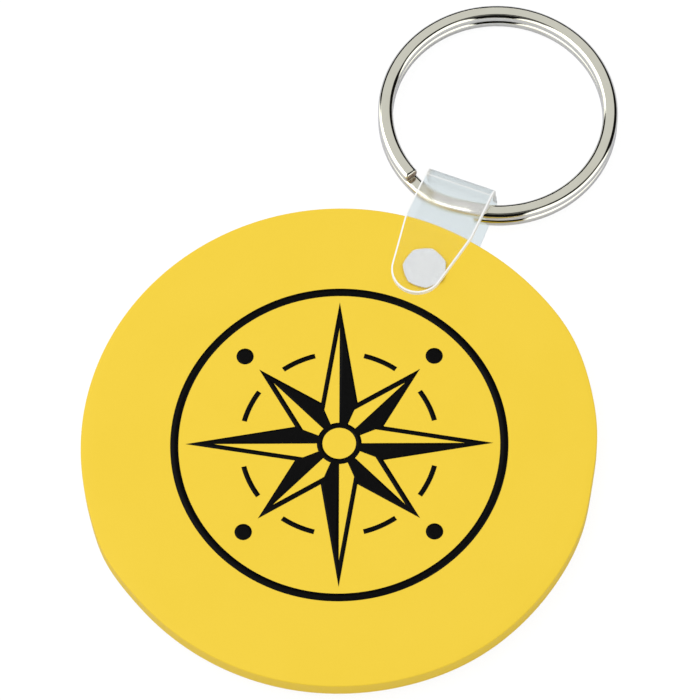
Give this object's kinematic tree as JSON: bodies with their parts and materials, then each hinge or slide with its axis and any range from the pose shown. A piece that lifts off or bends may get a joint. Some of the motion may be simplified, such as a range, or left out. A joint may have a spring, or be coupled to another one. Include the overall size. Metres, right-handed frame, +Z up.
{
  "type": "soft pvc keychain",
  "caption": "Round soft tag hung on a clear folded snap strap, which swivels in the tag's hole and carries a double-wound split key ring.",
  "frame": {"origin": "middle of the tag's flat back face", "axes": "+Z up through the printed face, +Y from the tag's middle through the snap to the ring, +X across the strap"},
  "size_m": [0.0508, 0.0771, 0.0041],
  "materials": {
    "tag_pvc": "satin",
    "clear_strap": "gloss",
    "nickel_plate": "gloss",
    "print_ink": "satin"
  },
  "bodies": {
    "tag": {"tag_disc": "tag_pvc"},
    "strap": {"snap_strap": "clear_strap"},
    "ring": {"split_ring": "nickel_plate"}
  },
  "joints": [
    {"name": "strap_swivel", "type": "hinge", "parent": "tag", "child": "strap", "pos_m": [0, 0.0205, 0.00115], "axis": [0, 0, 1], "range_deg": [-20, 20]},
    {"name": "ring_swing", "type": "hinge", "parent": "strap", "child": "ring", "pos_m": [-0.0005, 0.02864, 0.00115], "axis": [1, 0, 0], "range_deg": [-115, 115]}
  ]
}
